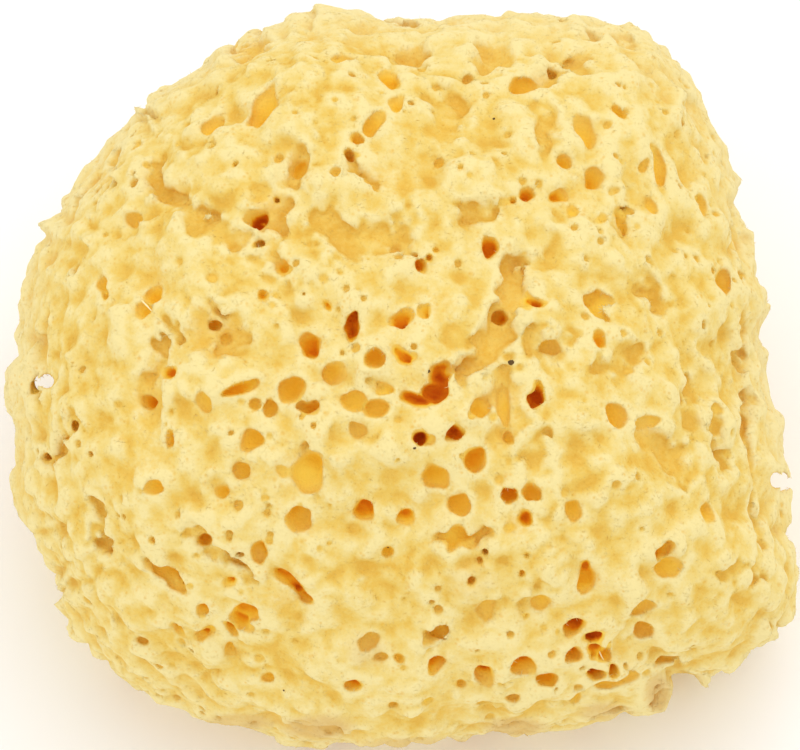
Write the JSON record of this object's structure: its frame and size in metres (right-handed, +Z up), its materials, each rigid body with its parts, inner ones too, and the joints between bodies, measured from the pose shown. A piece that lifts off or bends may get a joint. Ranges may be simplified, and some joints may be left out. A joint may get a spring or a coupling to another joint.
{
  "type": "sea sponge",
  "caption": "Bleached honeycomb sea sponge: a lumpy dome full of open pores, cut off flat underneath to rest on.",
  "frame": {"origin": "centre of the bounding box at the flat cut underneath, on the surface that it rests on", "axes": "+Z up, out of the flat cut; +X to the right along the longest side; the face that the picture shows looks up and to the front, towards -Y and +Z"},
  "size_m": [0.13, 0.1284, 0.0919],
  "materials": {
    "sponge_skin": "dry bleached sponge skeleton, matt, cream yellow outside and deep orange to red-brown inside the pores"
  },
  "bodies": {
    "root": {"sponge": "sponge_skin"}
  },
  "joints": []
}
